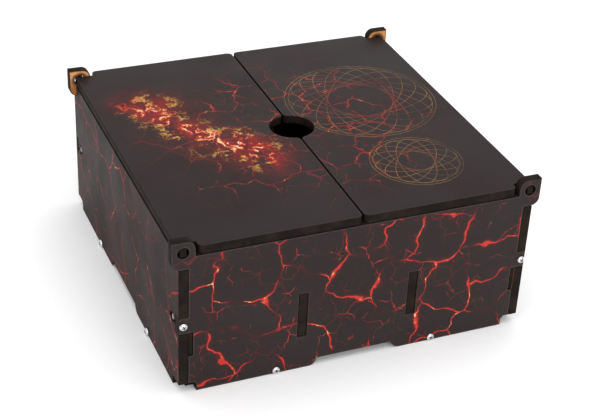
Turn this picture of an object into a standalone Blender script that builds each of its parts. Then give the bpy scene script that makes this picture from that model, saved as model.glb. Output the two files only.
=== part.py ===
"""Card storage case cut from 6 mm board, with two hinged lid leaves.

Frame: metres, +Z up, +X to the right along the front, the front faces -Y.
The origin is the centre of the footprint, at the level the case stands on.
All driving dimensions below are in millimetres.
"""
import math

import bmesh
import bpy
from mathutils import Matrix, Vector

# ---------------------------------------------------------------- dimensions
MM = 0.001
GAP = 0.3               # clearance between two boards that touch

WIDTH = 240.0           # over the outer faces of the two side panels
DEPTH = 242.0           # over the outer faces of the front and rear panels
BOARD = 6.0             # thickness of wall, bottom and lid board

WALL_TOP = 101.3        # top edge of front and rear panels between the ears
SIDE_TOP = 100.2        # top edge of side panels, lower so the lid edge clears it
CORNER_RAISE = 6.8      # underside of the walls at the four corners
ARCH_RAISE = 5.3        # underside of the walls in the middle of each side
ARCH_HALF = 27.0        # half length of the arch, at its top
FOOT_ROUND = 5.3        # rounding of the foot ends beside the arch
FOOT_END_X = 108.3      # outer end of the feet on front and rear panels
FOOT_END_Y = 109.3      # outer end of the feet on the side panels
CORNER_FILLET = 2.4

EAR_IN = 109.2          # inner edge of an ear, from the centre plane
EAR_OUT = 124.6         # outer edge of an ear
EAR_TOP = 112.2
EAR_BOTTOM = 92.6
EAR_TOP_ROUND = 6.0
EAR_BOTTOM_ROUND = 5.4
PIVOT_X = 117.0         # lid pivot, from the centre plane: mid-plane of a side panel
PIVOT_Z = 104.5         # lid pivot height: mid-plane of the closed lid
PIVOT_HOLE_R = 3.8      # clears the tongue, whose half diagonal is 3.52

TAB_LOW, TAB_HIGH = 45.5, 57.3      # screw tabs of front and rear panels
TAB_SCREW_Z = 51.4
FLOOR_SCREW_Z = 2.8
FLOOR_SCREW_X = 55.0    # screws through front and rear panels into the bottom
FLOOR_SCREW_Y = 56.0    # screws through the side panels into the bottom

DIVIDER_X = 38.1
DIVIDER_T = 5.8
DIVIDER_TOP = 77.8
SLOT_LOW, SLOT_HIGH = 25.2, 58.3    # divider slots in front and rear panels
LINER_T = 2.7
LINER_TOP = 67.6
LINER_SLOT_LOW = 28.0
LINER_TENON_LOW = 28.8

LID_T = 5.8
LID_SIDE = 119.8        # outer side edge of a lid
LID_END = 120.6         # front and rear edge of a lid
LID_NOTCH_X = 107.2     # edge of the notch that clears an ear
LID_NOTCH_Y = 114.4
LID_GAP_HALF = 0.7      # half the gap between the two leaves
LID_ROUND = 3.5
FINGER_R = 15.5
FINGER_ROUND = 3.5
PIVOT_W = 4.0           # width of a pivot tongue; its height is the lid's thickness
PIVOT_END = 120.6

SCREW_R = 1.4
SCREW_HOLE_R = 1.7
SCREW_LEN = 15.5
HEAD_R = 2.6
HEAD_H = 1.9
HEAD_GAP = 0.2
NUT_FLATS = 5.5
NUT_T = 2.4
NUT_BORE_R = 1.65
NUT_DEPTH = 4.6         # from the board's edge to the nut's near face
T_CHANNEL = 3.4
T_DEPTH = 10.6
T_NUT_W = 6.9
T_NUT_T = 3.0

PRINT_BLACK = (0.050, 0.045, 0.046)
DARK_BOARD = (0.045, 0.038, 0.034)
STEEL = (0.62, 0.62, 0.63)

# ------------------------------------------------------------------- helpers
for old in list(bpy.data.objects):
    bpy.data.objects.remove(old, do_unlink=True)


def material(name, colour, roughness, metallic=0.0):
    mat = bpy.data.materials.new(name)
    mat.use_nodes = True
    bsdf = mat.node_tree.nodes["Principled BSDF"]
    bsdf.inputs["Base Color"].default_value = (*colour, 1.0)
    bsdf.inputs["Roughness"].default_value = roughness
    bsdf.inputs["Metallic"].default_value = metallic
    return mat


def fillet(points, steps=5):
    """Round the corners of a closed outline. A point is (u, v) or (u, v, radius)."""
    out = []
    n = len(points)
    for i, point in enumerate(points):
        corner = Vector(point[:2])
        radius = point[2] if len(point) > 2 else 0.0
        if radius <= 0.0:
            out.append(tuple(corner))
            continue
        before = (Vector(points[i - 1][:2]) - corner).normalized()
        after = (Vector(points[(i + 1) % n][:2]) - corner).normalized()
        half = before.angle(after) / 2.0
        centre = corner + (before + after).normalized() * (radius / math.sin(half))
        start = corner + before * (radius / math.tan(half)) - centre
        end = corner + after * (radius / math.tan(half)) - centre
        sweep = start.angle_signed(end)
        for k in range(steps + 1):
            turned = start.copy()
            turned.rotate(Matrix.Rotation(-sweep * k / steps, 2))
            out.append(tuple(centre + turned))
    return out


def link(name, mesh, mat, location=(0.0, 0.0, 0.0)):
    obj = bpy.data.objects.new(name, mesh)
    bpy.context.scene.collection.objects.link(obj)
    obj.location = [c * MM for c in location]
    if not mesh.materials:
        mesh.materials.append(mat)
    # Repeated pieces share a mesh, so each object carries its own material.
    obj.material_slots[0].link = "OBJECT"
    obj.material_slots[0].material = mat
    return obj


def round_off(mesh, limit=32.0):
    """Mark the edges where a smooth surface ends."""
    mesh.set_sharp_from_angle(angle=math.radians(limit))
    return mesh


def prism(name, outline, low, high, plane):
    """Extrude an outline (mm) between two levels (mm), normal to its plane."""
    bm = bmesh.new()
    place = {"XY": lambda u, v, w: (u, v, w),
             "XZ": lambda u, v, w: (u, w, v),
             "YZ": lambda u, v, w: (w, u, v)}[plane]
    base = [bm.verts.new([c * MM for c in place(u, v, low)]) for u, v in outline]
    face = bm.faces.new(base)
    top = bmesh.ops.extrude_face_region(bm, geom=[face])
    shift = [c * MM for c in place(0.0, 0.0, high - low)]
    moved = [g for g in top["geom"] if isinstance(g, bmesh.types.BMVert)]
    bmesh.ops.translate(bm, vec=shift, verts=moved)
    bmesh.ops.recalc_face_normals(bm, faces=bm.faces)
    normal = Vector(place(0.0, 0.0, 1.0))
    for face in bm.faces:
        face.smooth = abs(face.normal.dot(normal)) < 0.5
    mesh = bpy.data.meshes.new(name)
    bm.to_mesh(mesh)
    bm.free()
    return round_off(mesh)


def cutter(name, mesh):
    obj = bpy.data.objects.new(name, mesh)
    bpy.context.scene.collection.objects.link(obj)
    obj.hide_render = True
    obj.display_type = "WIRE"
    return obj


def round_cutter(name, centre, radius, axis, length, sides=24):
    bm = bmesh.new()
    bmesh.ops.create_cone(bm, cap_ends=True, segments=sides, radius1=radius * MM,
                          radius2=radius * MM, depth=length * MM)
    turn = {"X": Matrix.Rotation(math.pi / 2, 4, "Y"),
            "Y": Matrix.Rotation(math.pi / 2, 4, "X"),
            "Z": Matrix.Identity(4)}[axis]
    for face in bm.faces:
        face.smooth = len(face.verts) == 4
    bmesh.ops.transform(bm, matrix=Matrix.Translation(Vector(centre) * MM) @ turn, verts=bm.verts)
    mesh = bpy.data.meshes.new(name)
    bm.to_mesh(mesh)
    bm.free()
    return cutter(name, round_off(mesh))


def box_cutter(name, low, high):
    bm = bmesh.new()
    bmesh.ops.create_cube(bm, size=1.0)
    size = [(b - a) * MM for a, b in zip(low, high)]
    mid = Vector([(a + b) / 2 * MM for a, b in zip(low, high)])
    bmesh.ops.scale(bm, vec=size, verts=bm.verts)
    bmesh.ops.translate(bm, vec=mid, verts=bm.verts)
    mesh = bpy.data.meshes.new(name)
    bm.to_mesh(mesh)
    bm.free()
    return cutter(name, mesh)


def cut(obj, cutters):
    for tool in cutters:
        mod = obj.modifiers.new(tool.name, "BOOLEAN")
        mod.operation = "DIFFERENCE"
        mod.solver = "EXACT"
        mod.object = tool


def mirrored(points):
    """The same outline for the other half: u changes sign, order is reversed."""
    return [(-p[0], *p[1:]) for p in reversed(points)]


# ---------------------------------------------------- front and rear panels
INNER_X = WIDTH / 2 - BOARD          # inner face of a side panel
INNER_Y = DEPTH / 2 - BOARD          # inner face of front and rear panels
EDGE_X = INNER_X - GAP               # where front and rear panels end
EDGE_Y = INNER_Y - GAP               # where the bottom and the dividers end


def wall_half():
    """Right half of a front or rear panel, from the arch up to the top edge."""
    return [
        (ARCH_HALF, ARCH_RAISE),
        (ARCH_HALF, 0.0, FOOT_ROUND - 0.01),
        (FOOT_END_X, 0.0),
        (FOOT_END_X, CORNER_RAISE, CORNER_FILLET),
        (EDGE_X, CORNER_RAISE),
        (EDGE_X, LINER_SLOT_LOW),
        (INNER_X - LINER_T - 2 * GAP, LINER_SLOT_LOW),
        (INNER_X - LINER_T - 2 * GAP, TAB_LOW),
        (WIDTH / 2, TAB_LOW),
        (WIDTH / 2, TAB_HIGH),
        (EDGE_X, TAB_HIGH),
        (EDGE_X, EAR_BOTTOM),
        (EAR_OUT, EAR_BOTTOM, EAR_BOTTOM_ROUND),
        (EAR_OUT, EAR_TOP),
        (EAR_IN, EAR_TOP, EAR_TOP_ROUND),
        (EAR_IN, WALL_TOP),
    ]


def wall(name, sign):
    """sign -1: the front panel; sign +1: the rear panel."""
    half = wall_half()
    outline = fillet(half + mirrored(half))
    low, high = sorted((sign * DEPTH / 2, sign * INNER_Y))
    obj = link(name, prism(name, outline, low, high, "XZ"),
               material(name, PRINT_BLACK, 0.42))
    mid = (low + high) / 2
    tools = []
    for side in (-1, 1):
        tag = name + ("_l" if side < 0 else "_r")
        tools.append(round_cutter(tag + "_pivot", (side * PIVOT_X, mid, PIVOT_Z),
                                  PIVOT_HOLE_R, "Y", 14.0, 32))
        tools.append(round_cutter(tag + "_tab_hole", (side * PIVOT_X, mid, TAB_SCREW_Z),
                                  SCREW_HOLE_R, "Y", 14.0, 16))
        tools.append(round_cutter(tag + "_floor_hole", (side * FLOOR_SCREW_X, mid, FLOOR_SCREW_Z),
                                  SCREW_HOLE_R, "Y", 14.0, 16))
        half_w = DIVIDER_T / 2 + GAP
        tools.append(box_cutter(tag + "_slot",
                                (side * DIVIDER_X - half_w, low - 4, SLOT_LOW),
                                (side * DIVIDER_X + half_w, high + 4, SLOT_HIGH)))
    cut(obj, tools)
    return obj


wall("front_panel", -1)
wall("rear_panel", 1)


# --------------------------------------------------------------- side panels
def t_slot(edge, at, into):
    """Screw channel with a cross slot for the nut, cut in from an edge.

    edge: the edge's position along the cut; at: the slot's centre across it;
    into: +1 or -1, the way the slot runs. Returns (along, across) pairs.
    """
    c, n = T_CHANNEL / 2, T_NUT_W / 2
    near = edge + into * (NUT_DEPTH - (T_NUT_T - NUT_T) / 2)
    far = near + into * T_NUT_T
    end = edge + into * T_DEPTH
    return [(edge, at - c), (near, at - c), (near, at - n), (far, at - n), (far, at - c),
            (end, at - c), (end, at + c), (far, at + c), (far, at + n), (near, at + n),
            (near, at + c), (edge, at + c)]


def side_half():
    """Rear half (y > 0) of a side panel, from the arch up to the top edge."""
    notch_low, notch_high = TAB_LOW - GAP, TAB_HIGH + GAP
    return [
        (ARCH_HALF, ARCH_RAISE),
        (ARCH_HALF, 0.0, FOOT_ROUND - 0.01),
        (FOOT_END_Y, 0.0),
        (FOOT_END_Y, CORNER_RAISE, CORNER_FILLET),
        (DEPTH / 2, CORNER_RAISE),
        (DEPTH / 2, notch_low),
        (EDGE_Y, notch_low),
        *t_slot(EDGE_Y, TAB_SCREW_Z, -1),
        (EDGE_Y, notch_high),
        (DEPTH / 2, notch_high),
        (DEPTH / 2, EAR_BOTTOM - GAP),
        (EDGE_Y, EAR_BOTTOM - GAP),
        (EDGE_Y, SIDE_TOP),
    ]


def side(name, sign):
    half = side_half()
    outline = fillet(half + mirrored(half))
    low, high = sorted((sign * WIDTH / 2, sign * INNER_X))
    obj = link(name, prism(name, outline, low, high, "YZ"),
               material(name, PRINT_BLACK, 0.42))
    cut(obj, [round_cutter(name + "_hole_" + tag,
                           ((low + high) / 2, end * FLOOR_SCREW_Y, FLOOR_SCREW_Z),
                           SCREW_HOLE_R, "X", 14.0, 16)
              for tag, end in (("front", -1), ("rear", 1))])
    return obj


side("left_side_panel", -1)
side("right_side_panel", 1)


# -------------------------------------------------------------- bottom panel
def bottom():
    """A plain board with eight nut slots, flush with the feet's undersides."""
    front = [p for x in (-FLOOR_SCREW_X, FLOOR_SCREW_X)
             for p in [(across, along) for along, across in t_slot(-EDGE_Y, x, 1)]]
    right = [p for y in (-FLOOR_SCREW_Y, FLOOR_SCREW_Y) for p in t_slot(EDGE_X, y, -1)]
    rear = [(-u, -v) for u, v in front]
    left = [(-u, -v) for u, v in right]
    outline = ([(-EDGE_X, -EDGE_Y)] + front + [(EDGE_X, -EDGE_Y)] + right
               + [(EDGE_X, EDGE_Y)] + rear + [(-EDGE_X, EDGE_Y)] + left)
    link("bottom_panel", prism("bottom_panel", outline, 0.0, BOARD, "XY"),
         material("bottom_panel", DARK_BOARD, 0.7))


bottom()


# ------------------------------------------- dividers and side liners inside
def partition(name, x_low, x_high, top, tenon_low, tenon_high):
    """A board standing between front and rear, with one tongue into each."""
    end = DEPTH / 2 - GAP
    half = [(EDGE_Y, BOARD + GAP), (EDGE_Y, tenon_low), (end, tenon_low),
            (end, tenon_high), (EDGE_Y, tenon_high), (EDGE_Y, top)]
    link(name, prism(name, half + mirrored(half), x_low, x_high, "YZ"),
         material(name, DARK_BOARD, 0.7))


for tag, s in (("left", -1), ("right", 1)):
    partition(tag + "_divider", s * DIVIDER_X - DIVIDER_T / 2, s * DIVIDER_X + DIVIDER_T / 2,
              DIVIDER_TOP, SLOT_LOW + GAP, SLOT_HIGH - GAP)
    a, b = sorted((s * (INNER_X - GAP), s * (INNER_X - GAP - LINER_T)))
    partition(tag + "_liner", a, b, LINER_TOP, LINER_TENON_LOW, TAB_LOW - GAP)


# ---------------------------------------------------------------- lid leaves
def lid(name, sign):
    """One leaf, its origin on its pivot axis. It is drawn as the right leaf."""
    arc = []
    # The finger hole's quarter from the +Y side round to the middle, then mirrored.
    lead = FINGER_ROUND
    r = FINGER_R
    inner = LID_GAP_HALF
    # Small round between the straight edge and the arc.
    reach = math.sqrt((r + lead) ** 2 - (inner + lead) ** 2)
    centre = Vector((inner + lead, reach))
    start = math.atan2(reach, inner + lead)
    for k in range(4):
        t = math.pi + start * k / 3
        arc.append((centre.x + lead * math.cos(t), centre.y + lead * math.sin(t)))
    steps = 9
    for k in range(1, steps + 1):
        t = start * (1 - k / steps)
        arc.append((r * math.cos(t), r * math.sin(t)))
    upper = arc[:-1]
    hole = upper + [arc[-1]] + [(x, -y) for x, y in reversed(upper)]
    half_w = PIVOT_W / 2
    corner = [
        (LID_NOTCH_X, -LID_END, LID_ROUND),
        (LID_NOTCH_X, -LID_NOTCH_Y),
        (PIVOT_X - half_w, -LID_NOTCH_Y),
        (PIVOT_X - half_w, -PIVOT_END),
        (PIVOT_X + half_w, -PIVOT_END),
        (PIVOT_X + half_w, -LID_NOTCH_Y),
        (LID_SIDE, -LID_NOTCH_Y, 1.0),
    ]
    outline = (hole + [(LID_GAP_HALF, -LID_END, LID_ROUND)] + corner
               + [(p[0], -p[1], *p[2:]) for p in reversed(corner)]
               + [(LID_GAP_HALF, LID_END, LID_ROUND)])
    flat = [(sign * (u - PIVOT_X), v) for u, v in fillet(outline)]
    mesh = prism(name, flat, -LID_T / 2, LID_T / 2, "XY")
    link(name, mesh, material(name, PRINT_BLACK, 0.40), (sign * PIVOT_X, 0.0, PIVOT_Z))


lid("left_lid", -1)
lid("right_lid", 1)


# ---------------------------------------------------------- screws and nuts
def screw_mesh():
    """Pan head with a cross recess and a plain shank, turned about local Z.

    The head's underside is at z = 0 and the shank runs down to -SCREW_LEN.
    """
    bm = bmesh.new()
    profile = [(0.0, HEAD_H), (HEAD_R * 0.45, HEAD_H * 0.97), (HEAD_R * 0.80, HEAD_H * 0.80),
               (HEAD_R, HEAD_H * 0.36), (HEAD_R, 0.0), (SCREW_R, 0.0),
               (SCREW_R, -(SCREW_LEN - 0.5)), (SCREW_R - 0.4, -SCREW_LEN), (0.0, -SCREW_LEN)]
    verts = [bm.verts.new((x * MM, 0.0, z * MM)) for x, z in profile]
    edges = [bm.edges.new((a, b)) for a, b in zip(verts, verts[1:])]
    bmesh.ops.spin(bm, geom=verts + edges, cent=(0, 0, 0), axis=(0, 0, 1),
                   angle=2 * math.pi, steps=16, use_merge=True)
    bmesh.ops.remove_doubles(bm, verts=bm.verts, dist=1e-6)
    bmesh.ops.recalc_face_normals(bm, faces=bm.faces)
    for face in bm.faces:
        face.smooth = True
    mesh = bpy.data.meshes.new("screw")
    bm.to_mesh(mesh)
    bm.free()
    return round_off(mesh)


def recess_cutter():
    """Four tapered wings of a cross recess, as one closed solid."""
    bm = bmesh.new()
    width, reach_top, reach_low, low, high = 0.42, 1.75, 0.95, 0.65, HEAD_H + 0.5
    loops = []
    for reach, half, z in ((reach_low, width * 0.75, low), (reach_top, width, high)):
        ring = []
        for q in range(4):
            c, s = math.cos(q * math.pi / 2), math.sin(q * math.pi / 2)
            for u, v in ((half, -half), (reach, -half), (reach, half)):
                ring.append(bm.verts.new(((u * c - v * s) * MM, (u * s + v * c) * MM, z * MM)))
        loops.append(ring)
    n = len(loops[0])
    bm.faces.new(list(reversed(loops[0])))
    bm.faces.new(loops[1])
    for i in range(n):
        j = (i + 1) % n
        bm.faces.new((loops[0][i], loops[0][j], loops[1][j], loops[1][i]))
    bmesh.ops.recalc_face_normals(bm, faces=bm.faces)
    mesh = bpy.data.meshes.new("recess")
    bm.to_mesh(mesh)
    bm.free()
    return mesh


def nut_mesh():
    """Hexagon nut about local Z, two of its flats facing local +X and -X."""
    bm = bmesh.new()
    outer_r = NUT_FLATS / math.sqrt(3)
    rings = []
    for z in (-NUT_T / 2, NUT_T / 2):
        outer, inner = [], []
        for k in range(12):
            a = math.radians(30 * k)
            rad = outer_r if k % 2 else NUT_FLATS / 2
            outer.append(bm.verts.new((rad * math.cos(a) * MM, rad * math.sin(a) * MM, z * MM)))
            inner.append(bm.verts.new((NUT_BORE_R * math.cos(a) * MM,
                                       NUT_BORE_R * math.sin(a) * MM, z * MM)))
        rings.append((outer, inner))
    (ob, ib), (ot, it) = rings
    for k in range(12):
        j = (k + 1) % 12
        bm.faces.new((ob[k], ob[j], ot[j], ot[k]))
        bm.faces.new((ib[j], ib[k], it[k], it[j]))
        bm.faces.new((ot[k], ot[j], it[j], it[k]))
        bm.faces.new((ob[j], ob[k], ib[k], ib[j]))
    bmesh.ops.recalc_face_normals(bm, faces=bm.faces)
    for face in bm.faces:
        face.smooth = True
    mesh = bpy.data.meshes.new("nut")
    bm.to_mesh(mesh)
    bm.free()
    return round_off(mesh)


SCREW = screw_mesh()
RECESS = recess_cutter()
NUT = nut_mesh()
X, Y, Z = Vector((1, 0, 0)), Vector((0, 1, 0)), Vector((0, 0, 1))


def frame(x_axis, z_axis, at, turn=0.0):
    y_axis = z_axis.cross(x_axis)
    rot = Matrix((x_axis, y_axis, z_axis)).transposed().to_4x4()
    return (Matrix.Translation(Vector(at) * MM) @ rot
            @ Matrix.Rotation(math.radians(turn), 4, "Z"))


def fasten(tag, out, face_at, nut_edge, flats, turn):
    """One screw with its nut. out: the way the head faces; face_at: where its
    axis meets the outer face; nut_edge: distance in to the board that holds
    the nut; flats: the normal of that board."""
    screw = link("screw_" + tag, SCREW, material("screw_" + tag, STEEL, 0.28, 1.0))
    place = frame(flats, out, Vector(face_at) + out * HEAD_GAP, turn)
    screw.matrix_world = place
    tool = cutter("recess_" + tag, RECESS)
    tool.matrix_world = place
    cut(screw, [tool])
    nut = link("nut_" + tag, NUT, material("nut_" + tag, STEEL, 0.35, 1.0))
    middle = Vector(face_at) - out * (nut_edge + NUT_DEPTH + NUT_T / 2)
    nut.matrix_world = frame(flats, out, middle)


for end, out, turns in (("front", -Y, (20, -35, 10, 55)), ("rear", Y, (40, -15, 5, 70))):
    y = out.y * DEPTH / 2
    fasten(end + "_tab_left", out, (-PIVOT_X, y, TAB_SCREW_Z), BOARD + GAP, X, turns[0])
    fasten(end + "_tab_right", out, (PIVOT_X, y, TAB_SCREW_Z), BOARD + GAP, X, turns[1])
    fasten(end + "_floor_left", out, (-FLOOR_SCREW_X, y, FLOOR_SCREW_Z), BOARD + GAP, Z, turns[2])
    fasten(end + "_floor_right", out, (FLOOR_SCREW_X, y, FLOOR_SCREW_Z), BOARD + GAP, Z, turns[3])
for end, out, turns in (("left", -X, (30, -25)), ("right", X, (-5, 50))):
    x = out.x * WIDTH / 2
    fasten(end + "_floor_front", out, (x, -FLOOR_SCREW_Y, FLOOR_SCREW_Z), BOARD + GAP, Z, turns[0])
    fasten(end + "_floor_rear", out, (x, FLOOR_SCREW_Y, FLOOR_SCREW_Z), BOARD + GAP, Z, turns[1])
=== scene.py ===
"""Card storage case of printed board with two lid leaves: its looks.

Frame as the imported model: metres, +Z up, the front faces -Y. Sizes below are in mm.
"""
import math

import bmesh
import bpy
from mathutils import Matrix, Vector


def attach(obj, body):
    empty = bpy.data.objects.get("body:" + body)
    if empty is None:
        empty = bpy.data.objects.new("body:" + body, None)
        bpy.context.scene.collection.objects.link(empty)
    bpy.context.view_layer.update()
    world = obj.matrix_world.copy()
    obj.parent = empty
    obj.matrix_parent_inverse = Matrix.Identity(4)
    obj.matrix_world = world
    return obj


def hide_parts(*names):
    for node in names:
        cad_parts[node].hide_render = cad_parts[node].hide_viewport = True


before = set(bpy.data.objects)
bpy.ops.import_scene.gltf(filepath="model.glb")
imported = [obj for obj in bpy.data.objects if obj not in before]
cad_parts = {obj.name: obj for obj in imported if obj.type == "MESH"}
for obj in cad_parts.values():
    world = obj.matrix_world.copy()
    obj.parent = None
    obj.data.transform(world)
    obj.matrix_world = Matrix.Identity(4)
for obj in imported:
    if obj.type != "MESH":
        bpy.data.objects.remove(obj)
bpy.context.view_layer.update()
MM = 0.001

# ------------------------------------------------------------- board outlines
GAP = 0.3
WIDTH, DEPTH, BOARD = 240.0, 242.0, 6.0
INNER_X, INNER_Y = WIDTH / 2 - BOARD, DEPTH / 2 - BOARD
EDGE_X, EDGE_Y = INNER_X - GAP, INNER_Y - GAP
PIVOT_X, PIVOT_Z = 117.0, 104.5
DIVIDER_X, DIVIDER_T = 38.1, 5.8
TAB_Z = 51.4
FLOOR_Z = 2.8


def fillet(points, steps=7):
    """Round the corners of a closed outline. A point is (u, v) or (u, v, radius)."""
    out = []
    n = len(points)
    for i, point in enumerate(points):
        corner = Vector(point[:2])
        radius = point[2] if len(point) > 2 else 0.0
        if radius <= 0.0:
            out.append(tuple(corner))
            continue
        before = (Vector(points[i - 1][:2]) - corner).normalized()
        after = (Vector(points[(i + 1) % n][:2]) - corner).normalized()
        half = before.angle(after) / 2.0
        centre = corner + (before + after).normalized() * (radius / math.sin(half))
        start = corner + before * (radius / math.tan(half)) - centre
        end = corner + after * (radius / math.tan(half)) - centre
        sweep = start.angle_signed(end)
        for k in range(steps + 1):
            turned = start.copy()
            turned.rotate(Matrix.Rotation(-sweep * k / steps, 2))
            out.append(tuple(centre + turned))
    return out


def mirrored(points):
    return [(-p[0], *p[1:]) for p in reversed(points)]


def circle(u, v, radius, steps=48):
    return [(u + radius * math.cos(2 * math.pi * k / steps),
             v + radius * math.sin(2 * math.pi * k / steps)) for k in range(steps)]


def rectangle(u0, v0, u1, v1):
    return [(u0, v0), (u1, v0), (u1, v1), (u0, v1)]


def area(loop):
    return sum(a[0] * b[1] - b[0] * a[1] for a, b in zip(loop, loop[1:] + loop[:1])) / 2


def offset(loop, distance):
    """Move a counter-clockwise outline inwards by a distance, corners mitred."""
    out = []
    n = len(loop)
    for i in range(n):
        p, a, b = Vector(loop[i]), Vector(loop[i - 1]), Vector(loop[(i + 1) % n])
        d1, d2 = (p - a).normalized(), (b - p).normalized()
        n1, n2 = Vector((-d1.y, d1.x)), Vector((-d2.y, d2.x))
        bisector = n1 + n2
        out.append(tuple(p + bisector * (distance * 2.0 / bisector.length_squared)))
    return out


def clean(loop):
    kept = []
    for p in loop:
        if not kept or (Vector(p) - Vector(kept[-1])).length > 1e-4:
            kept.append(p)
    if (Vector(kept[0]) - Vector(kept[-1])).length < 1e-4:
        kept.pop()
    return kept


PLANES = {"XY": lambda u, v, w: (u, v, w),
          "XZ": lambda u, v, w: (u, w, v),
          "YZ": lambda u, v, w: (w, u, v)}


def board(name, outer, holes, low, high, plane, print_side, mats, edge_bevel=0.22, ring=0.62):
    """A cut board with eased edges.

    print_side: +1 or -1 for the face that carries the print, 0 for none.
    mats: printed face, cut edge, bare face. The point attribute "burn" is 1 at a cut and
    falls to 0 a little way in, where the cutter's heat no longer shows. It drives the heat browning
    of bare faces and a painted highlight along the cut edges of printed faces.
    """
    bm = bmesh.new()
    near_cut = bm.verts.layers.float.new("near_cut")
    place = PLANES[plane]
    spec = [(outer, edge_bevel, ring)] + holes
    rims = {-1: [], 1: []}
    for index, (loop, bevel, ring) in enumerate(spec):
        loop = clean(loop)
        if area(loop) < 0:
            loop = loop[::-1]
        inward = 1.0 if index == 0 else -1.0
        levels = [(bevel + ring, low, 0.0), (bevel, low, 1.0),
                  (0.29 * bevel, low + 0.29 * bevel, 1.0), (0.0, low + bevel, 1.0),
                  (0.0, high - bevel, 1.0), (0.29 * bevel, high - 0.29 * bevel, 1.0),
                  (bevel, high, 1.0), (bevel + ring, high, 0.0)]
        rows = []
        for inset, w, value in levels:
            pts = offset(loop, inward * inset) if inset else loop
            row = []
            for u, v in pts:
                vert = bm.verts.new([c * MM for c in place(u, v, w)])
                vert[near_cut] = value
                row.append(vert)
            rows.append(row)
        n = len(loop)
        for k in range(len(rows) - 1):
            flat = k in (0, len(rows) - 2)
            for i in range(n):
                j = (i + 1) % n
                face = bm.faces.new((rows[k][i], rows[k][j], rows[k + 1][j], rows[k + 1][i]))
                if flat:
                    side = -1 if k == 0 else 1
                    face.material_index = 0 if side == print_side else 2
                    face.smooth = False
                else:
                    face.material_index = 1
                    face.smooth = True
        for side, row in ((-1, rows[0]), (1, rows[-1])):
            for i in range(n):
                rims[side].append(bm.edges.get((row[i], row[(i + 1) % n])))
    for side in (-1, 1):
        made = bmesh.ops.triangle_fill(bm, use_beauty=True, use_dissolve=False, edges=rims[side])
        for face in made["geom"]:
            if isinstance(face, bmesh.types.BMFace):
                face.material_index = 0 if side == print_side else 2
                face.smooth = False
    bmesh.ops.recalc_face_normals(bm, faces=bm.faces)
    mesh = bpy.data.meshes.new(name)
    bm.to_mesh(mesh)
    bm.free()
    mesh.set_sharp_from_angle(angle=math.radians(50))
    for mat in mats:
        mesh.materials.append(mat)
    obj = bpy.data.objects.new(name, mesh)
    bpy.context.scene.collection.objects.link(obj)
    return obj


def t_slot(edge, at, into):
    c, n = 1.7, 3.45
    near = edge + into * 4.3
    far = near + into * 3.0
    end = edge + into * 10.6
    return [(edge, at - c), (near, at - c), (near, at - n), (far, at - n), (far, at - c),
            (end, at - c), (end, at + c), (far, at + c), (far, at + n), (near, at + n),
            (near, at + c), (edge, at + c)]


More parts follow.
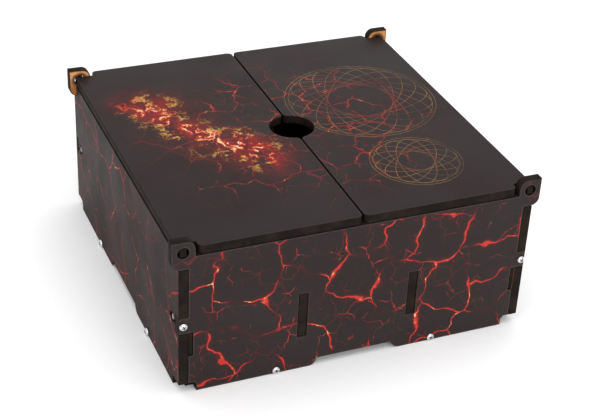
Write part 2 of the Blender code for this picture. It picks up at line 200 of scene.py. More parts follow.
# --------------------------------------------------------------- node helpers
class Tree:
    """A material's node tree, written as expressions."""

    def __init__(self, name):
        self.mat = bpy.data.materials.new(name)
        self.mat.use_nodes = True
        self.tree = self.mat.node_tree
        self.tree.nodes.clear()
        self.out = self.tree.nodes.new("ShaderNodeOutputMaterial")

    def put(self, socket, value):
        if isinstance(value, bpy.types.NodeSocket):
            self.tree.links.new(value, socket)
        elif value is not None:
            socket.default_value = value

    def new(self, kind, inputs=None, **props):
        node = self.tree.nodes.new(kind)
        for key, value in props.items():
            setattr(node, key, value)
        for key, value in (inputs or {}).items():
            self.put(node.inputs[key], value)
        return node

    def math(self, op, a, b=None, c=None, clamp=False):
        node = self.tree.nodes.new("ShaderNodeMath")
        node.operation = op
        node.use_clamp = clamp
        for i, value in enumerate((a, b, c)):
            if value is not None:
                self.put(node.inputs[i], value)
        return node.outputs[0]

    def vec(self, op, a, b=None, scale=None):
        node = self.tree.nodes.new("ShaderNodeVectorMath")
        node.operation = op
        self.put(node.inputs[0], a)
        if b is not None:
            self.put(node.inputs[1], b)
        if scale is not None:
            self.put(node.inputs["Scale"], scale)
        return node.outputs["Value"] if op in ("LENGTH", "DOT_PRODUCT") else node.outputs[0]

    def noise(self, vector, size, detail=3.0, rough=0.55, colour=False):
        """size: the largest feature, in the vector's own unit."""
        node = self.new("ShaderNodeTexNoise", {"Vector": vector, "Scale": 1.0 / size,
                                               "Detail": detail, "Roughness": rough})
        return node.outputs["Color" if colour else "Fac"]

    def step(self, x, a, b, low=0.0, high=1.0):
        return self.new("ShaderNodeMapRange",
                        {"Value": x, "From Min": a, "From Max": b, "To Min": low, "To Max": high},
                        interpolation_type="SMOOTHSTEP").outputs[0]

    def mix(self, fac, a, b, blend="MIX"):
        node = self.tree.nodes.new("ShaderNodeMix")
        node.data_type = "RGBA"
        node.blend_type = blend
        self.put(node.inputs[0], fac)
        self.put(node.inputs[6], (*a, 1.0) if isinstance(a, tuple) else a)
        self.put(node.inputs[7], (*b, 1.0) if isinstance(b, tuple) else b)
        return node.outputs[2]

    def ramp(self, fac, stops):
        node = self.tree.nodes.new("ShaderNodeValToRGB")
        self.put(node.inputs[0], fac)
        elements = node.color_ramp.elements
        while len(elements) < len(stops):
            elements.new(0.5)
        for element, (at, colour) in zip(elements, stops):
            element.position = at
            element.color = (*colour, 1.0)
        return node.outputs[0]

    def place(self):
        """Object coordinates in mm."""
        coords = self.new("ShaderNodeTexCoord").outputs["Object"]
        return self.vec("SCALE", coords, scale=1000.0)

    def face_uv(self, plane, shift):
        """The two coordinates along a face, in mm, shifted to a part of the pattern."""
        xyz = self.new("ShaderNodeSeparateXYZ", {0: self.place()}).outputs
        pick = {"XZ": (0, 2), "YZ": (1, 2), "XY": (0, 1)}[plane]
        flat = self.new("ShaderNodeCombineXYZ", {0: xyz[pick[0]], 1: xyz[pick[1]], 2: 0.0}).outputs[0]
        return flat, self.vec("ADD", flat, shift)

    def surface(self, colour, roughness, bump=None, bump_mm=0.05, metallic=0.0, coat=0.0,
                specular=0.5):
        node = self.new("ShaderNodeBsdfPrincipled", {"Base Color": colour, "Roughness": roughness,
                                                     "Metallic": metallic})
        node.inputs["Specular IOR Level"].default_value = specular
        node.inputs["Coat Weight"].default_value = coat
        node.inputs["Coat Roughness"].default_value = 0.25
        if bump is not None:
            shape = self.new("ShaderNodeBump", {"Height": bump, "Strength": 1.0,
                                                "Distance": bump_mm * MM})
            self.tree.links.new(shape.outputs[0], node.inputs["Normal"])
        self.tree.links.new(node.outputs[0], self.out.inputs["Surface"])
        return self.mat

    def warp(self, uv, size, amount, detail=3.0, rough=0.55):
        colour = self.noise(uv, size, detail, rough, True)
        return self.vec("SCALE", self.vec("SUBTRACT", colour, (0.5, 0.5, 0.5)), scale=amount)

    def cracks(self, uv, cell, low, high, widest, knot, shift=(0.0, 0.0, 0.0)):
        """Broken cracks that swell at their knots. Returns how far inside one, in mm, a halo,
        and a hair line along the middle."""
        at = self.vec("ADD", uv, shift)
        bent = self.vec("ADD", self.vec("ADD", at, self.warp(at, 0.76 * cell, 0.76 * cell, 2.0)),
                        self.warp(at, 5.0, 3.4, 4.0, 0.66))
        p = self.vec("SCALE", bent, scale=1.0 / cell)
        flat = {"Vector": p, "Scale": 1.0}
        f1 = self.new("ShaderNodeTexVoronoi", dict(flat), voronoi_dimensions="2D",
                      feature="F1").outputs["Distance"]
        soft = self.new("ShaderNodeTexVoronoi", dict(flat, Smoothness=0.35),
                        voronoi_dimensions="2D", feature="SMOOTH_F1").outputs["Distance"]
        edge = self.new("ShaderNodeTexVoronoi", dict(flat), voronoi_dimensions="2D",
                        feature="DISTANCE_TO_EDGE").outputs["Distance"]
        edge = self.math("MULTIPLY", edge, cell)
        joint = self.step(self.math("SUBTRACT", f1, soft), 0.080, 0.135)
        broken = self.noise(at, 0.9 * cell, 2.0, 0.5)
        alive = self.step(broken, low, low + 0.07)
        width = self.step(broken, low, high, 0.16, widest)
        swell = self.math("MULTIPLY", self.math("POWER", joint, 1.6), knot)
        width = self.math("ADD", width, swell)
        width = self.math("MULTIPLY_ADD", width, alive, self.math("MULTIPLY_ADD", alive, 0.6, -0.6))
        depth = self.math("SUBTRACT", width, edge)
        hair = self.math("MULTIPLY", self.step(edge, 0.62, 0.12), self.step(depth, -0.1, 0.25))
        return depth, self.step(depth, -3.2, 0.0), hair

    def threads(self, uv, cell, shift):
        """Faint hair cracks in patches."""
        at = self.vec("ADD", uv, shift)
        bent = self.vec("ADD", at, self.warp(at, 0.8 * cell, 0.7 * cell, 4.0, 0.64))
        edge = self.new("ShaderNodeTexVoronoi",
                        {"Vector": self.vec("SCALE", bent, scale=1.0 / cell), "Scale": 1.0},
                        voronoi_dimensions="2D", feature="DISTANCE_TO_EDGE").outputs["Distance"]
        line = self.step(self.math("MULTIPLY", edge, cell), 0.40, 0.08)
        return self.math("MULTIPLY", line, self.step(self.noise(at, 1.7 * cell, 2.0, 0.55), 0.48, 0.62))


# ------------------------------------------------------------------ materials
INK = (0.0150, 0.0070, 0.0068)
INK_GREY = (0.0172, 0.0110, 0.0113)
EMBER = (0.031, 0.0070, 0.0062)
CRACK_RIM = (0.155, 0.0135, 0.012)
CRACK_FAINT = (0.105, 0.0115, 0.0105)
CRACK = (0.47, 0.025, 0.019)
CRACK_CORE = (0.62, 0.115, 0.053)
CRACK_PALE = (0.78, 0.45, 0.20)


MAIN = (35.0, 0.405, 0.66, 0.80, 1.35)
LID_MAIN = (25.0, 0.375, 0.72, 0.42, 0.85)


def lay_cracks(t, uv, base, strength, main=MAIN):
    """The crack print over a ground colour. strength: a number or a socket, 0 to 1."""
    depth, halo, hair = t.cracks(uv, *main)
    inside = t.step(depth, -0.14, 0.26)
    speck = t.noise(uv, 7.0, 3.0, 0.6)
    fine_depth, _, fine_hair = t.cracks(uv, 20.0, 0.48, 0.72, 0.34, 0.50, (310.0, 70.0, 0.0))
    fine = t.step(fine_depth, -0.10, 0.22)
    flecks = t.step(t.noise(t.vec("ADD", uv, (90.0, 15.0, 0.0)), 4.2, 2.0, 0.6), 0.745, 0.79)
    ripe = t.step(t.noise(uv, 26.0, 2.0), 0.42, 0.62)
    colour = t.mix(t.math("MULTIPLY", halo, 0.80), base, EMBER)
    colour = t.mix(t.math("MULTIPLY", t.threads(uv, 11.0, (57.0, 223.0, 0.0)), 0.80), colour, CRACK_FAINT)
    colour = t.mix(t.math("MULTIPLY", t.step(depth, -1.1, -0.1), 0.42), colour, CRACK_FAINT)
    colour = t.mix(t.math("MULTIPLY", flecks, 0.42), colour, CRACK)
    colour = t.mix(t.math("MULTIPLY", fine, 0.78), colour, t.mix(ripe, CRACK_RIM, CRACK))
    colour = t.mix(t.math("MULTIPLY", fine_hair, t.step(speck, 0.60, 0.68)), colour, CRACK_CORE)
    body = t.mix(t.step(depth, -0.05, 0.40), CRACK_RIM, CRACK)
    body = t.mix(t.math("MULTIPLY", t.step(depth, 0.5, 1.4), 0.20), body, CRACK_CORE)
    body = t.mix(t.math("MULTIPLY", hair, t.step(speck, 0.53, 0.63)), body, CRACK_CORE)
    body = t.mix(t.math("MULTIPLY", hair, t.step(speck, 0.60, 0.68)), body, CRACK_PALE)
    return t.mix(strength, base, t.mix(inside, colour, body))


def ground(t, uv, xyz):
    """The near-black ink with slow drifts of tone and a fine grain from the board."""
    drift = t.step(t.noise(uv, 85.0, 2.0, 0.5), 0.36, 0.64)
    colour = t.mix(drift, INK, INK_GREY)
    grain = t.noise(xyz, 0.9, 3.0, 0.6)
    return t.mix(t.step(grain, 0.30, 0.75, 0.0, 0.30), colour, (0.027, 0.019, 0.019))


def satin(t, colour, xyz, rough=0.40, specular=0.19):
    """Print lacquer on fibreboard: a slight orange peel, with a painted highlight: paler in a hair line at
    cut edges.
    """
    peel = t.noise(xyz, 1.6, 3.0, 0.55)
    # Painted highlight: a pale, patchy hair line of edge sheen along the cut edges of the printed face, a
    # little rougher there.
    cut_nearness = t.new("ShaderNodeAttribute", attribute_name="near_cut").outputs["Fac"]
    rim_highlight = t.math("MULTIPLY", t.step(cut_nearness, 0.10, 0.75), t.step(t.noise(xyz, 5.0, 3.0, 0.6), 0.26, 0.56))
    colour = t.mix(t.math("MULTIPLY", rim_highlight, 0.85), colour, (0.046, 0.036, 0.035))
    patch = t.step(t.noise(xyz, 38.0, 3.0, 0.5), 0.30, 0.70, rough - 0.035, rough + 0.045)
    return t.surface(colour, t.math("ADD", patch, t.math("MULTIPLY", rim_highlight, 0.12)), peel, 0.012,
                     specular=specular)


def printed(name, plane, shift, strength=1.0, main=MAIN, ears=False, tint=None, specular=0.19):
    t = Tree(name)
    xyz = t.place()
    flat, uv = t.face_uv(plane, shift)
    base = ground(t, uv, xyz)
    if tint:
        base = t.mix(t.step(t.noise(uv, 60.0, 2.0), 0.42, 0.66, 0.0, 0.8), base, tint)
    if ears:
        # The print is faint on the ears.
        parts = t.new("ShaderNodeSeparateXYZ", {0: flat}).outputs
        on_ear = t.math("MULTIPLY", t.step(t.math("ABSOLUTE", parts[0]), 100.0, 108.0),
                        t.step(parts[1], 84.0, 93.0))
        strength = t.math("MULTIPLY_ADD", on_ear, -0.86 * strength, strength)
    return satin(t, lay_cracks(t, uv, base, strength, main), xyz, specular=specular)


def lid_left(name):
    """A molten drift across the leaf, from the rear outer corner to the finger hole."""
    t = Tree(name)
    xyz = t.place()
    flat, uv = t.face_uv("XY", (40.0, 910.0, 0.0))
    near = t.step(t.vec("LENGTH", t.vec("ADD", flat, t.warp(uv, 50.0, 60.0, 2.0))), 118.0, 52.0)
    base = lay_cracks(t, uv, ground(t, uv, xyz), t.math("MULTIPLY", near, 0.95), LID_MAIN)
    axis = t.vec("ADD", flat, (62.0, -14.0, 0.0))
    bent = t.vec("ADD", axis, t.warp(uv, 60.0, 58.0, 2.0))
    parts = t.new("ShaderNodeSeparateXYZ", {0: bent}).outputs
    # Distance from a slanting line, and how far along it.
    across = t.math("ADD", t.math("MULTIPLY", parts[0], 0.86), t.math("MULTIPLY", parts[1], 0.50))
    along = t.math("SUBTRACT", t.math("MULTIPLY", parts[1], 0.86), t.math("MULTIPLY", parts[0], 0.50))
    side = t.math("ABSOLUTE", across)
    reach = t.math("MULTIPLY", t.step(side, 34.0, 8.0), t.step(t.math("ABSOLUTE", along), 88.0, 52.0))
    swirl = t.vec("ADD", uv, t.warp(uv, 24.0, 46.0, 3.0))
    flow = t.noise(swirl, 13.0, 5.0, 0.62)
    ridge = t.math("SUBTRACT", 1.0, t.math("ABSOLUTE", t.math("MULTIPLY_ADD", flow, 6.0, -3.0)), clamp=True)
    haze = t.math("MULTIPLY", reach, t.step(t.noise(swirl, 20.0, 4.0, 0.6), 0.36, 0.66))
    thread = t.math("MULTIPLY", t.math("POWER", ridge, 2.4), reach)
    gaps = t.step(t.noise(t.vec("ADD", uv, (210.0, 35.0, 0.0)), 10.0, 4.0, 0.62), 0.43, 0.56)
    thread = t.math("MULTIPLY", thread, gaps)
    inner = t.step(side, 17.0, 5.0)
    glow = t.math("MULTIPLY", t.step(side, 46.0, 12.0), t.step(t.math("ABSOLUTE", along), 96.0, 56.0))
    glow = t.math("MULTIPLY", glow, t.step(t.noise(swirl, 30.0, 3.0, 0.6), 0.34, 0.68))
    colour = t.mix(t.math("MULTIPLY", glow, 0.62), base, (0.075, 0.0060, 0.0062))
    colour = t.mix(t.math("MULTIPLY", t.math("MULTIPLY", haze, t.step(side, 30.0, 8.0)), 0.85), colour,
                   (0.23, 0.009, 0.008))
    colour = t.mix(t.math("MULTIPLY", t.step(thread, 0.10, 0.55), 0.92), colour,
                   t.mix(inner, (0.26, 0.110, 0.020), (0.50, 0.021, 0.012)))
    colour = t.mix(t.step(thread, 0.36, 0.82), colour,
                   t.mix(inner, (0.53, 0.330, 0.085), (0.62, 0.135, 0.030)))
    colour = t.mix(t.math("MULTIPLY", t.step(thread, 0.62, 0.93), t.step(side, 14.0, 3.0)), colour,
                   (0.84, 0.66, 0.36))
    return satin(t, colour, xyz, 0.42, 0.095)


def lid_right(name):
    """Two turned-line rosettes of thin gold and red line, one large and one small."""
    t = Tree(name)
    xyz = t.place()
    flat, uv = t.face_uv("XY", (470.0, 130.0, 0.0))
    near = t.step(t.vec("LENGTH", t.vec("ADD", flat, t.warp(uv, 50.0, 60.0, 2.0))), 118.0, 52.0)
    colour = lay_cracks(t, uv, ground(t, uv, xyz), t.math("MULTIPLY", near, 0.95), LID_MAIN)
    for cu, cv, long, short, count, ring in ((61.0, 22.0, 51.0, 23.0, 9, 53.5),
                                             (61.0, -68.0, 29.0, 12.0, 7, 31.0)):
        at = t.vec("SUBTRACT", flat, (cu, cv, 0.0))
        radius = t.vec("LENGTH", at)
        lines = None
        for k in range(count):
            a = math.pi * k / count
            turned = t.new("ShaderNodeVectorRotate", {"Vector": at, "Angle": a},
                           rotation_type="Z_AXIS").outputs[0]
            unit = t.vec("MULTIPLY", turned, (1.0 / long, 1.0 / short, 0.0))
            slope = t.vec("LENGTH", t.vec("MULTIPLY", unit, (1.0 / long, 1.0 / short, 0.0)))
            size = t.vec("LENGTH", unit)
            gap = t.math("ABSOLUTE", t.math("MULTIPLY", t.math("SUBTRACT", size, 1.0),
                                            t.math("DIVIDE", size, slope)))
            lines = gap if lines is None else t.math("MINIMUM", lines, gap)
        for extra in (ring, ring - 2.6):
            lines = t.math("MINIMUM", lines, t.math("ABSOLUTE", t.math("SUBTRACT", radius, extra)))
        mark = t.step(lines, 0.26, 0.05)
        fade = t.step(t.noise(uv, 26.0, 3.0, 0.6), 0.30, 0.64, 0.16, 0.68)
        tone = t.mix(t.step(t.math("ADD", radius, t.math("MULTIPLY", t.noise(uv, 30.0), 30.0)),
                            0.55 * ring, 1.15 * ring),
                     (0.40, 0.032, 0.017), (0.40, 0.21, 0.060))
        colour = t.mix(t.math("MULTIPLY", mark, fade), colour, tone)
    return satin(t, colour, xyz, 0.42, 0.095)


def burnt_edge(name, axis):
    """A laser-cut edge: scorched fibre with fine striations across the thickness."""
    t = Tree(name)
    xyz = t.place()
    squeeze = {"X": (0.05, 1.0, 1.0), "Y": (1.0, 0.05, 1.0), "Z": (1.0, 1.0, 0.05)}[axis]
    ribs = t.noise(t.vec("MULTIPLY", xyz, squeeze), 0.55, 3.0, 0.6)
    soot = t.noise(xyz, 9.0, 4.0, 0.6)
    colour = t.mix(t.step(soot, 0.35, 0.68), (0.0072, 0.0052, 0.0045), (0.0168, 0.0110, 0.0086))
    colour = t.mix(t.step(ribs, 0.52, 0.72, 0.0, 0.55), colour, (0.024, 0.014, 0.010))
    return t.surface(colour, t.step(ribs, 0.3, 0.7, 0.66, 0.82), ribs, 0.05, specular=0.08)


def bare(name, along):
    """The tan face of the board, browned near the cuts, with painted shade below the pivot holes."""
    t = Tree(name)
    xyz = t.place()
    stretch = {"X": (0.07, 1.0, 1.0), "Y": (1.0, 0.07, 1.0), "Z": (1.0, 1.0, 0.07)}[along]
    grain_at = t.vec("MULTIPLY", t.vec("ADD", xyz, t.warp(xyz, 60.0, 5.0, 2.0)), stretch)
    bands = t.noise(grain_at, 2.6, 4.0, 0.62)
    pores = t.noise(grain_at, 0.42, 2.0, 0.6)
    cloud = t.noise(xyz, 46.0, 3.0, 0.5)
    colour = t.mix(t.step(bands, 0.34, 0.66), (0.67, 0.320, 0.112), (0.53, 0.228, 0.072))
    colour = t.mix(t.step(cloud, 0.34, 0.70, 0.0, 0.35), colour, (0.73, 0.425, 0.185))
    colour = t.mix(t.step(pores, 0.60, 0.78, 0.0, 0.45), colour, (0.30, 0.145, 0.055))
    parts = t.new("ShaderNodeSeparateXYZ", {0: xyz}).outputs
    out_x = t.math("SUBTRACT", t.math("ABSOLUTE", parts[0]), PIVOT_X)
    up_z = t.math("SUBTRACT", parts[2], PIVOT_Z)
    from_hole = t.vec("LENGTH", t.new("ShaderNodeCombineXYZ", {0: out_x, 1: up_z, 2: 0.0}).outputs[0])
    ragged = t.math("MULTIPLY_ADD", t.noise(xyz, 3.0, 3.0, 0.6), 1.6, -0.8)
    smoke = t.step(t.math("ADD", from_hole, ragged), 7.0, 4.6)
    # Painted shade: the face below each pivot hole, out to about 22 mm, where the leaf's corner shades the
    # ear.
    low = t.math("MULTIPLY", t.step(up_z, 4.0, -7.0), t.step(from_hole, 22.0, 13.0))
    colour = t.mix(t.math("MULTIPLY", smoke, 0.92), colour, (0.060, 0.018, 0.006))
    # Painted shade below the pivot hole, in dark brown.
    colour = t.mix(t.math("MULTIPLY", low, 0.70), colour, (0.235, 0.080, 0.022))
    heat = t.new("ShaderNodeAttribute", attribute_name="near_cut").outputs["Fac"]
    uneven = t.math("ADD", heat, t.math("MULTIPLY_ADD", t.noise(xyz, 4.0, 3.0, 0.6), 0.8, -0.4))
    colour = t.mix(t.step(uneven, 0.10, 0.55, 0.0, 0.85), colour, (0.15, 0.062, 0.026))
    colour = t.mix(t.step(uneven, 0.55, 1.05), colour, (0.022, 0.012, 0.009))
    return t.surface(colour, t.step(bands, 0.3, 0.7, 0.62, 0.76), pores, 0.03, specular=0.14)


def steel(name, rough, dull=(0.66, 0.66, 0.68), bright=(0.78, 0.78, 0.78)):
    t = Tree(name)
    xyz = t.place()
    film = t.noise(xyz, 1.4, 3.0, 0.6)
    drawn = t.noise(xyz, 0.12, 2.0, 0.5)
    colour = t.mix(t.step(film, 0.35, 0.68), dull, bright)
    return t.surface(colour, t.step(film, 0.3, 0.7, rough - 0.05, rough + 0.08), drawn, 0.006,
                     metallic=1.0)


EDGE = {a: burnt_edge("cut_edge_" + a.lower(), a) for a in "XYZ"}
BARE = {a: bare("bare_face_" + a.lower(), a) for a in "XY"}
def dark(name, along):
    """Near-black board with a matt face, browned near the cuts. The near-black is partly a dark board and
    partly painted shade for the shadow inside the case.
    """
    t = Tree(name)
    xyz = t.place()
    stretch = {"X": (0.10, 1.0, 1.0), "Y": (1.0, 0.10, 1.0)}[along]
    fibre = t.noise(t.vec("MULTIPLY", xyz, stretch), 1.1, 4.0, 0.62)
    cloud = t.noise(xyz, 40.0, 3.0, 0.5)
    colour = t.mix(t.step(cloud, 0.34, 0.68), (0.0150, 0.0128, 0.0122), (0.0235, 0.0200, 0.0186))
    colour = t.mix(t.step(fibre, 0.50, 0.74, 0.0, 0.55), colour, (0.036, 0.030, 0.027))
    heat = t.new("ShaderNodeAttribute", attribute_name="near_cut").outputs["Fac"]
    uneven = t.math("ADD", heat, t.math("MULTIPLY_ADD", t.noise(xyz, 4.0, 3.0, 0.6), 0.8, -0.4))
    colour = t.mix(t.step(uneven, 0.35, 1.0, 0.0, 0.75), colour, (0.014, 0.0085, 0.0065))
    return t.surface(colour, t.step(fibre, 0.3, 0.7, 0.66, 0.80), fibre, 0.03, specular=0.18)


# For the bottom, dividers and liners: near-black, partly as painted shade for the inside of the case.
DARK = {a: dark("dark_face_" + a.lower(), a) for a in "XY"}
STEEL_HEAD = steel("zinc_screw", 0.24)
# Dark steel in the cross recess: partly soot and oil, partly painted shade for the recess's own shadow.
STEEL_RECESS = steel("zinc_recess", 0.5, (0.055, 0.055, 0.058), (0.12, 0.12, 0.12))
# The nuts' steel is darker than the screws': painted shade for the nuts deep in their T-slots.
STEEL_NUT = steel("zinc_nut", 0.38, (0.30, 0.30, 0.31), (0.42, 0.42, 0.42))

# --------------------------------------------------------------------- boards
SCREW_HOLE = (0.1, 0.1)


def keep(obj, body, node):
    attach(obj, body)
    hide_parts(node)
    return obj


def wall(node, sign, mat):
    half = [(27.0, 5.3), (27.0, 0.0, 5.29), (108.3, 0.0), (108.3, 6.8, 2.4), (EDGE_X, 6.8),
            (EDGE_X, 28.0), (INNER_X - 3.3, 28.0), (INNER_X - 3.3, 45.5), (120.0, 45.5),
            (120.0, 57.3), (EDGE_X, 57.3), (EDGE_X, 92.6), (124.6, 92.6, 5.4), (124.6, 112.2),
            (109.2, 112.2, 6.0), (109.2, 101.3)]
    low, high = sorted((sign * DEPTH / 2, sign * INNER_Y))
    holes = []
    w = DIVIDER_T / 2 + GAP
    for s in (-1, 1):
        holes.append((circle(s * PIVOT_X, PIVOT_Z, 3.8), 0.1, 0.95))
        holes.append((circle(s * PIVOT_X, TAB_Z, 1.7, 24), *SCREW_HOLE))
        holes.append((circle(s * 55.0, FLOOR_Z, 1.7, 24), *SCREW_HOLE))
        holes.append((rectangle(s * DIVIDER_X - w, 25.2, s * DIVIDER_X + w, 58.3), 0.2, 0.62))
    obj = board(node[:-6] + "_wall_board", fillet(half + mirrored(half)), holes, low, high, "XZ",
                sign, (mat, EDGE["Y"], BARE["X"]), ring=0.95)
    return keep(obj, "case", node)


def side(node, sign, mat):
    half = [(27.0, 5.3), (27.0, 0.0, 5.29), (109.3, 0.0), (109.3, 6.8, 2.4), (121.0, 6.8),
            (121.0, 45.2), (EDGE_Y, 45.2), *t_slot(EDGE_Y, TAB_Z, -1), (EDGE_Y, 57.6),
            (121.0, 57.6), (121.0, 92.3), (EDGE_Y, 92.3), (EDGE_Y, 100.2)]
    low, high = sorted((sign * WIDTH / 2, sign * INNER_X))
    holes = [(circle(e * 56.0, FLOOR_Z, 1.7, 24), *SCREW_HOLE) for e in (-1, 1)]
    obj = board(node[:-6] + "_board", fillet(half + mirrored(half)), holes, low, high, "YZ",
                sign, (mat, EDGE["X"], BARE["Y"]))
    return keep(obj, "case", node)


def bottom():
    front = [(b, a) for x in (-55.0, 55.0) for a, b in t_slot(-EDGE_Y, x, 1)]
    right = [p for y in (-56.0, 56.0) for p in t_slot(EDGE_X, y, -1)]
    rear = [(-u, -v) for u, v in front]
    left = [(-u, -v) for u, v in right]
    outline = ([(-EDGE_X, -EDGE_Y)] + front + [(EDGE_X, -EDGE_Y)] + right
               + [(EDGE_X, EDGE_Y)] + rear + [(-EDGE_X, EDGE_Y)] + left)
    obj = board("bottom_board", outline, [], 0.0, BOARD, "XY", 0,
                (DARK["X"], EDGE["Z"], DARK["X"]))
    return keep(obj, "case", "bottom_panel")


def partition(node, x_low, x_high, top, tenon_low, tenon_high):
    end = DEPTH / 2 - GAP
    half = [(EDGE_Y, BOARD + GAP), (EDGE_Y, tenon_low), (end, tenon_low), (end, tenon_high),
            (EDGE_Y, tenon_high), (EDGE_Y, top)]
    obj = board(node + "_board", half + mirrored(half), [], x_low, x_high, "YZ", 0,
                (DARK["Y"], EDGE["X"], DARK["Y"]))
    return keep(obj, "case", node)


def leaf(node, sign, mat):
    r, lead, inner = 15.5, 3.5, 0.7
    reach = math.sqrt((r + lead) ** 2 - (inner + lead) ** 2)
    start = math.atan2(reach, inner + lead)
    arc = []
    for k in range(7):
        t = math.pi + start * k / 6
        arc.append((inner + lead + lead * math.cos(t), reach + lead * math.sin(t)))
    for k in range(1, 23):
        t = start * (1 - k / 22)
        arc.append((r * math.cos(t), r * math.sin(t)))
    hole = arc + [(x, -y) for x, y in reversed(arc[:-1])]
    corner = [(107.2, -120.6, 3.5), (107.2, -114.4), (115.0, -114.4), (115.0, -120.6),
              (119.0, -120.6), (119.0, -114.4), (119.8, -114.4)]
    outline = (hole + [(0.7, -120.6, 3.5)] + corner
               + [(p[0], -p[1], *p[2:]) for p in reversed(corner)] + [(0.7, 120.6, 3.5)])
    flat = [(sign * u, v) for u, v in fillet(outline)]
    obj = board(node + "_board", flat, [], PIVOT_Z - 2.9, PIVOT_Z + 2.9, "XY", 1,
                (mat, EDGE["Z"], BARE["Y"]), 0.12)
    return keep(obj, node.replace("_lid", "_leaf"), node)


wall("front_panel", -1, printed("print_front", "XZ", (340.0, 910.0, 0.0), 1.0, ears=True))
wall("rear_panel", 1, printed("print_rear", "XZ", (-420.0, 560.0, 0.0), 0.9, ears=True))
side("left_side_panel", -1, printed("print_left", "YZ", (130.0, -640.0, 0.0), 0.78,
                                    (33.0, 0.40, 0.68, 0.58, 0.90), tint=(0.030, 0.0082, 0.0076),
                                    specular=0.03))
side("right_side_panel", 1, printed("print_right", "YZ", (880.0, 410.0, 0.0), 0.9))
bottom()
for tag, s in (("left", -1), ("right", 1)):
    partition(tag + "_divider", s * DIVIDER_X - DIVIDER_T / 2, s * DIVIDER_X + DIVIDER_T / 2,
              77.8, 25.5, 58.0)
    a, b = sorted((s * (INNER_X - GAP), s * (INNER_X - GAP - 2.7)))
    partition(tag + "_liner", a, b, 67.6, 28.8, 45.2)
leaf("left_lid", -1, lid_left("print_left_leaf"))
leaf("right_lid", 1, lid_right("print_right_leaf"))


# ----------------------------------------------------------- screws and nuts
def finish_mesh(name, bm, limit=34.0):
    bmesh.ops.recalc_face_normals(bm, faces=bm.faces)
    for face in bm.faces:
        face.smooth = True
    mesh = bpy.data.meshes.new(name)
    bm.to_mesh(mesh)
    bm.free()
    mesh.set_sharp_from_angle(angle=math.radians(limit))
    return mesh


def screw_mesh():
    """Pan head with a rounded rim, and a shank with a 0.5 mm pitch thread."""
    bm = bmesh.new()
    seg, pitch, crest, root, length = 24, 0.5, 1.4, 1.13, 15.5
    head = [(0.0, 1.88), (0.85, 1.85), (1.5, 1.72), (2.0, 1.46), (2.33, 1.15), (2.51, 0.81),
            (2.6, 0.48), (2.6, 0.16), (2.53, 0.03), (2.4, 0.0), (crest, 0.0), (crest, -0.8)]
    rows = []
    for r, z in head[1:]:
        rows.append([bm.verts.new((r * math.cos(2 * math.pi * i / seg) * MM,
                                   r * math.sin(2 * math.pi * i / seg) * MM, z * MM))
                     for i in range(seg)])
    steps = int((length - 0.8 - 0.5) / (pitch / 4))
    for k in range(1, steps + 1):
        z = -0.8 - k * pitch / 4
        fade = min(1.0, k / 8)
        row = []
        for i in range(seg):
            phase = (z / pitch + i / seg) % 1.0
            depth = 1.0 - abs(2.0 * phase - 1.0)
            r = crest - (crest - root) * depth * fade
            a = 2 * math.pi * i / seg
            row.append(bm.verts.new((r * math.cos(a) * MM, r * math.sin(a) * MM, z * MM)))
        rows.append(row)
    rows.append([bm.verts.new((0.95 * math.cos(2 * math.pi * i / seg) * MM,
                               0.95 * math.sin(2 * math.pi * i / seg) * MM, -length * MM))
                 for i in range(seg)])
    for upper, lower in zip(rows, rows[1:]):
        for i in range(seg):
            j = (i + 1) % seg
            bm.faces.new((upper[i], upper[j], lower[j], lower[i]))
    bm.faces.new(rows[-1])
    top = bm.verts.new((0.0, 0.0, 1.88 * MM))
    for i in range(seg):
        bm.faces.new((top, rows[0][(i + 1) % seg], rows[0][i]))
    return finish_mesh("screw_shape", bm, 40.0)


def recess_mesh():
    """A tapered cross with a pointed floor."""
    bm = bmesh.new()
    rings = []
    for reach, half, z in ((0.45, 0.20, 0.35), (1.05, 0.28, 0.75), (1.72, 0.40, 2.4)):
        ring = []
        for q in range(4):
            c, s = math.cos(q * math.pi / 2), math.sin(q * math.pi / 2)
            for u, v in ((half, -half), (reach, -half), (reach, half)):
                ring.append(bm.verts.new(((u * c - v * s) * MM, (u * s + v * c) * MM, z * MM)))
        rings.append(ring)
    for low, high in zip(rings, rings[1:]):
        for i in range(12):
            j = (i + 1) % 12
            bm.faces.new((low[i], low[j], high[j], high[i]))
    bm.faces.new(rings[0][::-1])
    bm.faces.new(rings[-1])
    bmesh.ops.recalc_face_normals(bm, faces=bm.faces)
    for face in bm.faces:
        face.material_index = 1
    mesh = bpy.data.meshes.new("recess_shape")
    bm.to_mesh(mesh)
    bm.free()
    return mesh


def cut_screw(turn):
    """The screw with its recess cut at an angle, as a plain mesh that several screws share."""
    body = bpy.data.objects.new("screw_blank", screw_mesh())
    tool = bpy.data.objects.new("recess_tool", recess_mesh())
    tool.matrix_world = Matrix.Rotation(math.radians(turn), 4, "Z")
    for obj in (body, tool):
        bpy.context.scene.collection.objects.link(obj)
        obj.data.materials.append(STEEL_HEAD)
        obj.data.materials.append(STEEL_RECESS)
    mod = body.modifiers.new("recess", "BOOLEAN")
    mod.operation = "DIFFERENCE"
    mod.solver = "EXACT"
    mod.object = tool
    graph = bpy.context.evaluated_depsgraph_get()
    mesh = bpy.data.meshes.new_from_object(body.evaluated_get(graph))
    for obj in (body, tool):
        bpy.data.objects.remove(obj, do_unlink=True)
    return mesh


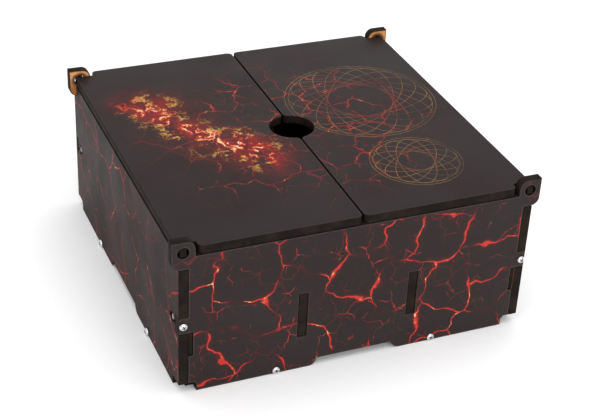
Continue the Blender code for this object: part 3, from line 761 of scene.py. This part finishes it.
def nut_mesh():
    """Hexagon nut with chamfered corners and a countersunk bore."""
    bm = bmesh.new()
    seg, flats, thick, bore = 48, 5.5, 2.4, 1.65
    profile = []
    for k in range(seg):
        a = 2 * math.pi * k / seg
        near = (a + math.pi / 6) % (math.pi / 3) - math.pi / 6
        profile.append((a, flats / 2 / math.cos(near)))
    rows = []
    for kind, z in (("bore", -0.9), ("sink", -1.2), ("face", -1.2), ("wall", -1.0),
                    ("wall", 1.0), ("face", 1.2), ("sink", 1.2), ("bore", 0.9)):
        row = []
        for a, hexagon in profile:
            over = hexagon - flats / 2
            r = {"bore": bore, "sink": bore + 0.2, "face": min(hexagon, flats / 2 - 0.12),
                 "wall": hexagon}[kind]
            height = z
            if kind == "wall":
                height = math.copysign(thick / 2 - 0.12 - 0.58 * over, z)
            row.append(bm.verts.new((r * math.cos(a) * MM, r * math.sin(a) * MM, height * MM)))
        rows.append(row)
    for k in range(len(rows)):
        upper, lower = rows[k], rows[(k + 1) % len(rows)]
        for i in range(seg):
            j = (i + 1) % seg
            bm.faces.new((upper[i], upper[j], lower[j], lower[i]))
    mesh = finish_mesh("nut_shape", bm, 28.0)
    mesh.materials.append(STEEL_NUT)
    return mesh


SCREWS = {turn: cut_screw(turn) for turn in (10, 20, 55, 70)}
NUT = nut_mesh()
X, Y, Z = Vector((1, 0, 0)), Vector((0, 1, 0)), Vector((0, 0, 1))


def stand(x_axis, z_axis, at):
    rot = Matrix((x_axis, z_axis.cross(x_axis), z_axis)).transposed().to_4x4()
    return Matrix.Translation(Vector(at) * MM) @ rot


def fasten(tag, out, face_at, flats, turn):
    for kind, mesh, at in (
            ("screw", SCREWS[turn], Vector(face_at) + out * 0.2),
            ("nut", NUT, Vector(face_at) - out * (BOARD + GAP + 4.6 + 1.2))):
        obj = bpy.data.objects.new("%s_%s_shape" % (kind, tag), mesh)
        bpy.context.scene.collection.objects.link(obj)
        obj.matrix_world = stand(flats, out, at)
        keep(obj, "case", "%s_%s" % (kind, tag))


for end, out, turns in (("front", -Y, (20, 55, 10, 55)), ("rear", Y, (55, 20, 10, 70))):
    y = out.y * DEPTH / 2
    fasten(end + "_tab_left", out, (-PIVOT_X, y, TAB_Z), X, turns[0])
    fasten(end + "_tab_right", out, (PIVOT_X, y, TAB_Z), X, turns[1])
    fasten(end + "_floor_left", out, (-55.0, y, FLOOR_Z), Z, turns[2])
    fasten(end + "_floor_right", out, (55.0, y, FLOOR_Z), Z, turns[3])
for end, out, turns in (("left", -X, (20, 70)), ("right", X, (10, 55))):
    x = out.x * WIDTH / 2
    fasten(end + "_floor_front", out, (x, -56.0, FLOOR_Z), Z, turns[0])
    fasten(end + "_floor_rear", out, (x, 56.0, FLOOR_Z), Z, turns[1])

# ------------------------------------------------------- floor, light, camera
bm = bmesh.new()
bmesh.ops.create_grid(bm, x_segments=1, y_segments=1, size=4.0)
floor_mesh = bpy.data.meshes.new("floor")
bm.to_mesh(floor_mesh)
bm.free()
floor = bpy.data.objects.new("floor", floor_mesh)
bpy.context.scene.collection.objects.link(floor)
floor.location = (0.0, 0.0, -0.0002)
t = Tree("pale_floor")
floor_mesh.materials.append(t.surface((0.955, 0.955, 0.955, 1.0), 0.8, specular=0.1))


def softbox(name, at, target, width, height, watts):
    light = bpy.data.lights.new(name, "AREA")
    light.shape = "RECTANGLE"
    light.size, light.size_y = width, height
    light.energy = watts
    obj = bpy.data.objects.new(name, light)
    bpy.context.scene.collection.objects.link(obj)
    obj.location = at
    obj.rotation_euler = (Vector(target) - Vector(at)).to_track_quat("-Z", "Y").to_euler()
    return obj


softbox("overhead", (0.0, -0.1, 1.9), (0, 0, 0), 2.8, 2.8, 24.5)
softbox("front", (-0.2, -2.2, 1.0), (0, 0, 0.05), 2.2, 1.4, 24.0)
softbox("rear", (1.1, 2.4, 0.80), (0, 0.1, 0.1), 2.4, 0.5, 4.2)

world = bpy.data.worlds.new("studio")
bpy.context.scene.world = world
world.use_nodes = True
world.node_tree.nodes["Background"].inputs[0].default_value = (1.0, 1.0, 1.0, 1.0)
world.node_tree.nodes["Background"].inputs[1].default_value = 0.78

az, el, roll = math.radians(-23.709), math.radians(31.6377), math.radians(2.9714)
forward = Vector((-math.sin(az) * math.cos(el), math.cos(az) * math.cos(el), -math.sin(el)))
level = forward.cross(Z).normalized()
above = level.cross(forward)
right = level * math.cos(roll) + above * math.sin(roll)
up = above * math.cos(roll) - level * math.sin(roll)
camera = bpy.data.cameras.new("camera")
camera.sensor_fit = "HORIZONTAL"
camera.sensor_width = 36.0
camera.lens = 1435.0313 * 36.0 / 600.0
camera.clip_start, camera.clip_end = 0.05, 20.0
view = bpy.data.objects.new("camera", camera)
bpy.context.scene.collection.objects.link(view)
view.matrix_world = (Matrix.Translation((-0.33746, -0.78955, 0.57187))
                     @ Matrix((right, up, -forward)).transposed().to_4x4())
bpy.context.scene.camera = view
bpy.context.scene.view_settings.view_transform = "Standard"
